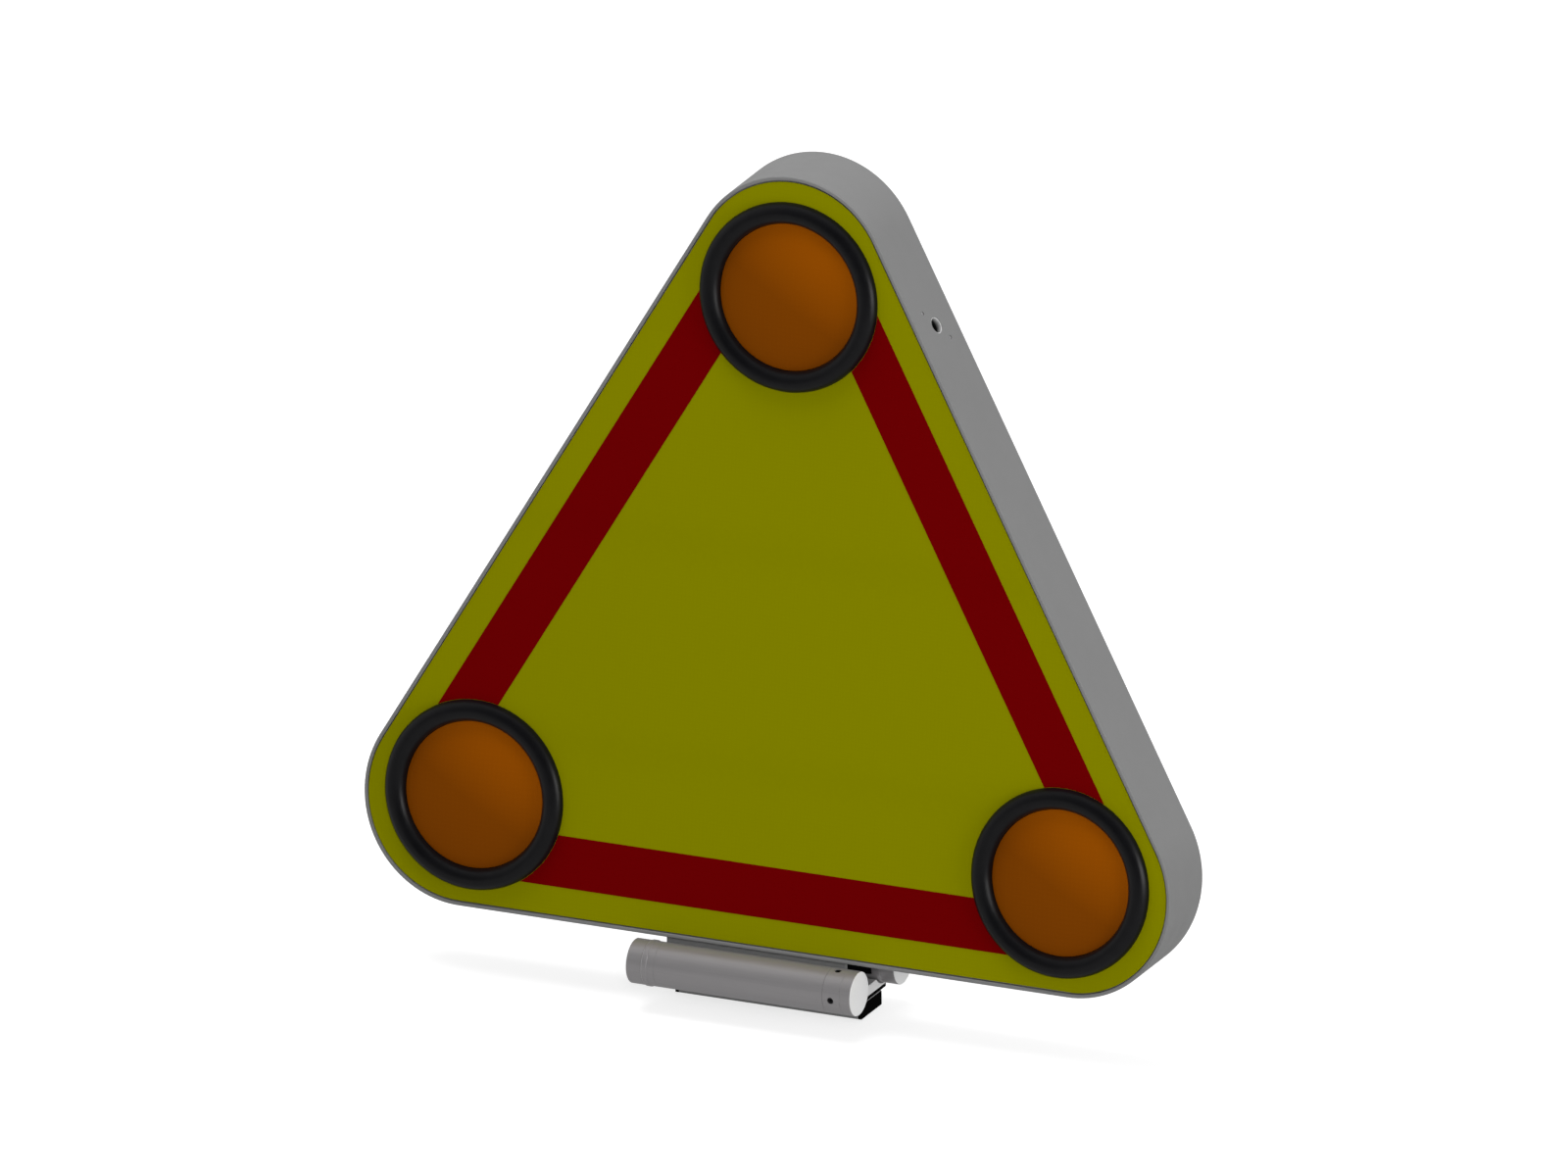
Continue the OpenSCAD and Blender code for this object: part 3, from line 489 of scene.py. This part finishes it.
def board(name):
    """Circuit board: solder mask with darker traces."""
    f = Finish(name, 0.35)
    traces = f.node("ShaderNodeTexBrick", Scale=60.0)
    traces.inputs["Color1"].default_value = (0.02, 0.10, 0.04, 1)
    traces.inputs["Color2"].default_value = (0.03, 0.13, 0.05, 1)
    traces.inputs["Mortar"].default_value = (0.05, 0.18, 0.08, 1)
    f.link(f.coords, traces.inputs["Vector"])
    f.colour(traces.outputs["Color"])
    f.bump(traces.outputs["Fac"], 0.2, 0.03)
    return f.mat


def grey(value):
    return (value, value, value, 1)


TUBE_TONE = (0.365, 0.352, 0.36, 1)
MATERIALS = {
    "casing_grey": painted("casing_grey", grey(0.226), 0.5, mottling=0.015),
    "plate_aluminium": machined("plate_aluminium", (0.55, 0.55, 0.56, 1), 0.4, 0.8, (900, 900, 20)),
    "yellow_film": film("yellow_film", (0.27, 0.269, 0.0, 1)),
    "red_film": film("red_film", (0.178, 0.0004, 0.0012, 1)),
    "black_rubber": rubber("black_rubber", (0.004, 0.004, 0.005, 1)),
    "amber_lens": amber("amber_lens", (0.235, 0.057, 0.0002, 1)),
    "black_plastic": painted("black_plastic", grey(0.0035), 0.5, grain=900, depth=0.04, mottling=0.1, spec=0.0),
    "circuit_board": board("circuit_board"),
    "cable_sheath": rubber("cable_sheath", (0.012, 0.012, 0.013, 1), 0.5),
    # Painted shade darkens the socket's metal inside its bore
    "socket_metal": plated_with_painted_shade("socket_metal", grey(0.80), grey(0.01), AT_SOCKET, rim_depth=0.3, depth=5),
    "brass": machined("brass", (0.62, 0.42, 0.13, 1), 0.3),
    "steel": machined("steel", (0.62, 0.62, 0.63, 1), 0.36, 0.5),
    "dark_steel": painted("dark_steel", (0.01, 0.01, 0.011, 1), 0.42, grain=1800, depth=0.01, mottling=0.12,
                          spec=0.1),
    "black_paint": painted("black_paint", grey(0.0035), 0.5, grain=1100, depth=0.03, mottling=0.1, spec=0.0),
    "bracket_grey": painted("bracket_grey", grey(0.30), 0.5, grain=1200, spec=0.1),
    "tube_grey": drawn("tube_grey", TUBE_TONE),
    "cap_grey": drawn("cap_grey", TUBE_TONE, grey(0.9)),
    "cradle_aluminium": drawn("cradle_aluminium", grey(0.75), grey(0.84), metal=0.3),
    "shim_grey": painted("shim_grey", grey(0.35), 0.6, grain=700, depth=0.03, spec=0.1),
}


def dress(obj, slot):
    """Gives a piece the finish of its material slot."""
    obj.data.materials.clear()
    obj.data.materials.append(MATERIALS[slot])


for node_name, node_object in NODES.items():
    dress(node_object, SLOTS[node_name])


# ---------- screws ----------
def cap_head(radius, height, socket_r, socket_depth, matrix):
    """A cap head on z = 0 with a rounded top edge and a hexagon socket."""
    rounding = [0, 0.15, min(0.5, height * 0.3), 0]
    outline = fillet([(0, 0), (radius, 0), (radius, height), (0, height)], rounding, 3)
    head = lathe("screw", outline, matrix, 40)
    floor_z, above = height - socket_depth, height + 1
    key = lathe("key", [(0, floor_z), (socket_r, floor_z), (socket_r, above), (0, above)], matrix, 6)
    cut(head, [key])
    return head


def join_for(node, objs):
    """Joins pieces into one that stands for a node."""
    with bpy.context.temp_override(active_object=objs[0], selected_editable_objects=objs):
        bpy.ops.object.join()
    objs[0].name = node + "_fine"
    soften(objs[0])
    stand_for(objs[0], node)


# ---------- casing ----------
COVER_T = 2.5
COVER_GAP = 0.3
COVER_SCREW_INSET = 9
COVER_SCREW_PITCH = 190
BRACKET_BOLTS = [(x, y) for x in (-55, 55) for y in (-28, -2)]
FLOOR_Z = MID.z - (INNER * math.cos(LEAN) + CORNER_R)


def cover_screws_at():
    """Places on the back face: three along each side and one at each corner."""
    for k in range(3):
        for i in (-1, 0, 1):
            side_place = (i * COVER_SCREW_PITCH, 0, -(INNER + CORNER_R - COVER_SCREW_INSET))
            yield ON_BACK @ Matrix.Rotation(math.radians(120 * k), 4, "Y") @ Matrix.Translation(side_place)
    reach = CIRCUM + CORNER_R - COVER_SCREW_INSET
    for angle in LAMPS.values():
        a = math.radians(angle)
        yield ON_BACK @ Matrix.Translation((reach * math.cos(a), 0, reach * math.sin(a)))


# The wall, with a ledge for the cover at the back and a ledge for the sign plate at the front
INSIDE = CORNER_R - WALL
BACK_LEDGE, BACK_0, BACK_1 = 71.6, 56, 58
FRONT_LEDGE, FRONT_0, FRONT_1 = 74.6, 3.6, 5.6
casing_outline = fillet(
    [(CORNER_R, 0), (CORNER_R, CASING_D), (INSIDE, CASING_D),
     (INSIDE, BACK_1), (BACK_LEDGE, BACK_1), (BACK_LEDGE, BACK_0), (INSIDE, BACK_0),
     (INSIDE, FRONT_1), (FRONT_LEDGE, FRONT_1), (FRONT_LEDGE, FRONT_0), (INSIDE, FRONT_0), (INSIDE, 0)],
    [0.9, 0.9, 0.6, 0.3, 0.4, 0.4, 0.5, 0.5, 0.4, 0.4, 0.3, 0.6], 3)
casing = rim_sweep("casing_shell_fine", casing_outline)
THROUGH = 3 * WALL
SOCKET_SCREW_HOLE_R = 1.7
BRACKET_BOLT_HOLE_R = 4.2
COVER_SCREW_HOLE_R = 2.2
holes = [cylinder_mesh(SOCKET_R + FIT, -THROUGH, THROUGH, AT_SOCKET)]
holes += [cylinder_mesh(SOCKET_SCREW_HOLE_R, -THROUGH, THROUGH, AT_SOCKET @ Matrix.Translation(p), 32)
          for p in SOCKET_SCREWS]
holes += [cylinder_mesh(BRACKET_BOLT_HOLE_R, FLOOR_Z - 1, FLOOR_Z + WALL + 1, Matrix.Translation((x, y, 0)), 32)
          for x, y in BRACKET_BOLTS]
cut(casing, holes)
soften(casing)
stand_for(casing, "casing_shell")

cover = rim_plate("rear_cover_fine", INSIDE - COVER_GAP, CASING_D - COVER_T, CASING_D, 0.5)
cut(cover, [cylinder_mesh(COVER_SCREW_HOLE_R, -4, 4, m @ INTO_SIGN, 24) for m in cover_screws_at()])
soften(cover)
stand_for(cover, "rear_cover")

COVER_SCREW_HEAD = dict(radius=3.8, height=2.4, socket_r=1.8, socket_depth=1.3)
join_for("cover_screws", [cap_head(matrix=m @ INTO_SIGN, **COVER_SCREW_HEAD) for m in cover_screws_at()])

# ---------- lamps ----------
LENS_GAP = 0.1
LENS_EDGE = 0.3
LENS_BACK = -3.3
LENS_SEAT = -0.9
LENS_SHOULDER = -0.5
LENS_T = 6
bore_r = LENS_R + LENS_GAP
ring_r = (BEZEL_R - LENS_R - LENS_GAP) / 2
bezel_outline = [(bore_r, PLATE_BACK), (PLATE_HOLE_R, PLATE_BACK), (PLATE_HOLE_R, FILM_Z), (BEZEL_R, FILM_Z)]
for k in range(1, RING_STEPS):
    t = math.pi * k / RING_STEPS
    bezel_outline.append((BEZEL_R - ring_r + ring_r * math.cos(t), FILM_Z + ring_r * math.sin(t)))
bezel_outline.append((bore_r, FILM_Z))

dome_r = (LENS_R ** 2 + LENS_RISE ** 2) / (2 * LENS_RISE)
dome_top = LENS_SHOULDER + LENS_RISE
lens_outline = [(LENS_R, LENS_BACK), (LENS_R, LENS_SEAT), (LENS_R - LENS_EDGE, LENS_SHOULDER)]
for k in range(1, DOME_STEPS + 1):
    r = (LENS_R - LENS_EDGE) * (1 - k / DOME_STEPS)
    lens_outline.append((r, dome_top - dome_r + math.sqrt(dome_r ** 2 - r ** 2)))
lens_outline += [(0, 2.0), (30, 1.2), (LENS_R - LENS_T, -2.0), (LENS_R - LENS_T, LENS_BACK)]

for where, angle in LAMPS.items():
    a = math.radians(angle)
    on_circle = Matrix.Translation((LAMP_CIRCLE * math.cos(a), 0, LAMP_CIRCLE * math.sin(a)))
    at_lamp = ON_SIGN @ on_circle @ OUT_OF_SIGN
    for piece, outline, segments in (("lamp_bezel_", bezel_outline, 192), ("lamp_lens_", lens_outline, 160)):
        obj = lathe(piece + where + "_fine", outline, at_lamp, segments)
        soften(obj)
        stand_for(obj, piece + where)

# ---------- films ----------
for node_name in ("sign_plate", "yellow_film", "red_band"):
    refine(node_name, 0.0)

# ---------- socket ----------
socket_outline = fillet(
    [(SOCKET_BORE_R, SOCKET_FLOOR), (SOCKET_BORE_R, SOCKET_LIP), (SOCKET_R, SOCKET_LIP),
     (SOCKET_R, SOCKET_END), (0, SOCKET_END), (0, SOCKET_FLOOR)],
    [0.4, 0.2, 0.3, 0.8, 0, 0])
socket_body = lathe("power_socket_fine", socket_outline, AT_SOCKET, 64)
soften(socket_body)
stand_for(socket_body, "power_socket")


# ---------- tubes: radii, then places along X ----------
TUBE_R = 18.0
TUBE_BORE_R = 16
COLLAR_BORE_R = 9
BUSH_R = 13.5
TUBE_END = 97.5
DRIVE_CAP = 88.5
IDLE_CAP = -84.2
COLLAR_IN = 73.5
REST_CAP = 85.5
CAP_PLUG_LEN = 10
SEAM = 0.1
BEAD = (-83.6, -79.8, 0.6)
EDGE = 0.8
SHARP = 0.1
BORE_EDGE = 0.2
TUBE_SCREW_HOLE_R = 2.5
SET_SCREW_X = 80.5
SET_SCREW_HOLE_R = 2.75


def tube(node, x0, x1, inner, matrix, edge_0, edge_1, holes=(), bead=None):
    """A tube along X, as one turned piece, with rounded ends, a raised bead and radial holes."""
    outline = [(TUBE_R, x0)]
    radii = [edge_0]
    if bead:
        b0, b1, height = bead
        outline += [(TUBE_R, b0), (TUBE_R + height, b0), (TUBE_R + height, b1), (TUBE_R, b1)]
        radii += [0.25, 0.3, 0.3, 0.25]
    outline += [(TUBE_R, x1), (inner, x1), (inner, x0)]
    radii += [edge_1] + [BORE_EDGE if inner > 0 else 0] * 2
    obj = lathe(node + "_fine", fillet(outline, radii), matrix)
    if holes:
        cut(obj, holes)
    soften(obj)
    stand_for(obj, node)


def radial(x, angle, radius, z0):
    """A cutter that points away from the motor tube's axis; angle from +Y towards +Z."""
    axis = MOTOR_AXIS.translation
    turn = Matrix.Translation((x, axis.y, axis.z)) @ Matrix.Rotation(math.radians(angle - 90), 4, "X")
    return cylinder_mesh(radius, z0, TUBE_R + 7, turn, 32)


tube("motor_tube", -COLLAR_IN + SEAM, COLLAR_IN - SEAM, TUBE_BORE_R, MOTOR_AXIS, SHARP, EDGE,
     [radial(x, 0, TUBE_SCREW_HOLE_R, 10) for x in (-60, 66)])
tube("drive_collar", COLLAR_IN, DRIVE_CAP, COLLAR_BORE_R, MOTOR_AXIS, SHARP, EDGE,
     [radial(SET_SCREW_X, a, SET_SCREW_HOLE_R, 8) for a in (97, 187)])
tube("drive_end_cap", DRIVE_CAP, TUBE_END, 0, MOTOR_AXIS, SHARP, EDGE)
tube("idle_collar", IDLE_CAP + SEAM, -COLLAR_IN, BUSH_R, MOTOR_AXIS, SHARP, SHARP, bead=BEAD)
tube("idle_end_cap", -TUBE_END, IDLE_CAP, 0, MOTOR_AXIS, EDGE, EDGE)
tube("rest_tube", -REST_CAP, REST_CAP, TUBE_BORE_R, REST_AXIS, EDGE, EDGE)


def rest_cap(side):
    """An end cap of the rest tube with a plug inside the bore."""
    plug_r, plug_x = TUBE_BORE_R - FIT, side * (REST_CAP - CAP_PLUG_LEN)
    seam_x, end_x = side * REST_CAP, side * TUBE_END
    outline = [(0, plug_x), (plug_r, plug_x), (plug_r, seam_x), (TUBE_R, seam_x), (TUBE_R, end_x), (0, end_x)]
    return lathe("cap", fillet(outline, [0, 0.4, 0.1, SHARP, EDGE, 0]), REST_AXIS)


join_for("rest_tube_caps", [rest_cap(side) for side in (1, -1)])

# ---------- base and bracket ----------
EDGE_WIDTHS = {
    "top_bracket": 0.4, "bracket_cheeks": 0.3, "tube_cradle": 0.4, "base_plate": 0.35, "base_block": 0.4,
    "base_end_caps": 0.3, "base_shim": 0.0, "rest_pad": 0.0, "bracket_bolts": 0.25, "rest_tube_bolts": 0.2,
    "cradle_screws": 0.2, "set_screws": 0.15, "socket_screws": 0.2, "cover_gasket": 0.0,
}
for node_name, width in EDGE_WIDTHS.items():
    refine(node_name, width)


# ---------- stage ----------
def camera_sees(tree, seen, other, output):
    """The camera sees one shader and all other rays meet the other one."""
    path = tree.nodes.new("ShaderNodeLightPath")
    mix = tree.nodes.new("ShaderNodeMixShader")
    tree.links.new(path.outputs["Is Camera Ray"], mix.inputs[0])
    tree.links.new(other.outputs[0], mix.inputs[1])
    tree.links.new(seen.outputs[0], mix.inputs[2])
    tree.links.new(mix.outputs[0], tree.nodes[output].inputs["Surface"])


def pale_floor(tree, base, emission_and_painted_light):
    """A matt floor shader with an emission of its own."""
    shader = tree.nodes.new("ShaderNodeBsdfPrincipled")
    shader.inputs["Base Color"].default_value = (base, base, base, 1)
    shader.inputs["Roughness"].default_value = 0.9
    shader.inputs["Specular IOR Level"].default_value = 0.0
    shader.inputs["Emission Color"].default_value = (1, 1, 1, 1)
    shader.inputs["Emission Strength"].default_value = emission_and_painted_light
    return shader


FLOOR_HALF = 12
FLOOR_CLEARANCE = 0.0005
floor_mesh = bpy.data.meshes.new("floor")
floor_mesh.from_pydata([(x * FLOOR_HALF, y * FLOOR_HALF, 0) for x, y in ((-1, -1), (1, -1), (1, 1), (-1, 1))],
                       [], [(0, 1, 2, 3)])
floor = bpy.data.objects.new("floor", floor_mesh)
floor.location = (0, 0, cad_box[0][2] - FLOOR_CLEARANCE)
bpy.context.scene.collection.objects.link(floor)
floor_mat = bpy.data.materials.new("floor")
floor_mat.use_nodes = True
floor_tree = floor_mat.node_tree
floor_tree.nodes.remove(floor_tree.nodes["Principled BSDF"])
bright = pale_floor(floor_tree, 0.55, 0.72)
dim = pale_floor(floor_tree, 0.15, 0.35)
camera_sees(floor_tree, bright, dim, "Material Output")
floor.data.materials.append(floor_mat)

# ---------- camera directions ----------
RIGHT_OF_VIEW = Vector((0.9074, 0.42005, -0.01299))
UP_OF_VIEW = Vector((-0.1371, 0.32516, 0.93565))
TO_CAMERA = Vector((0.3972, -0.84724, 0.35268))

# ---------- light: a soft tent with its dark opening towards the camera ----------
world = bpy.data.worlds.new("studio")
bpy.context.scene.world = world
world.use_nodes = True
sky = world.node_tree
towards = sky.nodes.new("ShaderNodeVectorMath")
towards.operation = "DOT_PRODUCT"
towards.inputs[1].default_value = Vector((0.25, -0.94, 0.24)).normalized()
sky.links.new(sky.nodes.new("ShaderNodeTexCoord").outputs["Generated"], towards.inputs[0])
tent = sky.nodes.new("ShaderNodeMapRange")
tent.interpolation_type = "SMOOTHSTEP"
for limit, value in (("From Min", 0.3), ("From Max", 0.95), ("To Min", 0.5), ("To Max", 0.05)):
    tent.inputs[limit].default_value = value
sky.links.new(towards.outputs["Value"], tent.inputs["Value"])
soft = sky.nodes["Background"]
soft.inputs["Color"].default_value = (1, 1, 1, 1)
sky.links.new(tent.outputs[0], soft.inputs["Strength"])
white = sky.nodes.new("ShaderNodeBackground")
white.inputs["Strength"].default_value = 1.0
camera_sees(sky, white, soft, "World Output")


def area_light(name, place, target, size, power, in_reflections=True):
    """A round lamp; place, target and size in metres, power in watts."""
    data = bpy.data.lights.new(name, "AREA")
    data.shape = "DISK"
    data.size = size
    data.energy = power
    lamp = bpy.data.objects.new(name, data)
    lamp.location = place
    lamp.rotation_euler = (Vector(target) - Vector(place)).to_track_quat("-Z", "Y").to_euler()
    lamp.visible_glossy = in_reflections
    bpy.context.scene.collection.objects.link(lamp)


area_light("side", (3.2, -0.7, 0.35), (0, 0, 0.2), 2.0, 48)
area_light("top", (-0.7, 0.0, 3.5), (0, 0, 0.3), 2.6, 72, in_reflections=False)
area_light("fill", MID * MM + 4 * TO_CAMERA, MID * MM, 0.8, 47, in_reflections=False)

# ---------- camera ----------
AIM_RIGHT = 7.62
AIM_UP = 55.57
DISTANCE = 3
aim = (MID + AIM_RIGHT * RIGHT_OF_VIEW + AIM_UP * UP_OF_VIEW) * MM
camera_data = bpy.data.cameras.new("camera")
camera_data.type = "ORTHO"
camera_data.ortho_scale = 1.2378
camera_data.clip_end = 50
camera = bpy.data.objects.new("camera", camera_data)
bpy.context.scene.collection.objects.link(camera)
axes = Matrix((RIGHT_OF_VIEW, UP_OF_VIEW, TO_CAMERA)).transposed()
camera.matrix_world = Matrix.Translation(aim + DISTANCE * TO_CAMERA) @ axes.to_4x4()
bpy.context.scene.camera = camera
bpy.context.scene.view_settings.view_transform = "Standard"
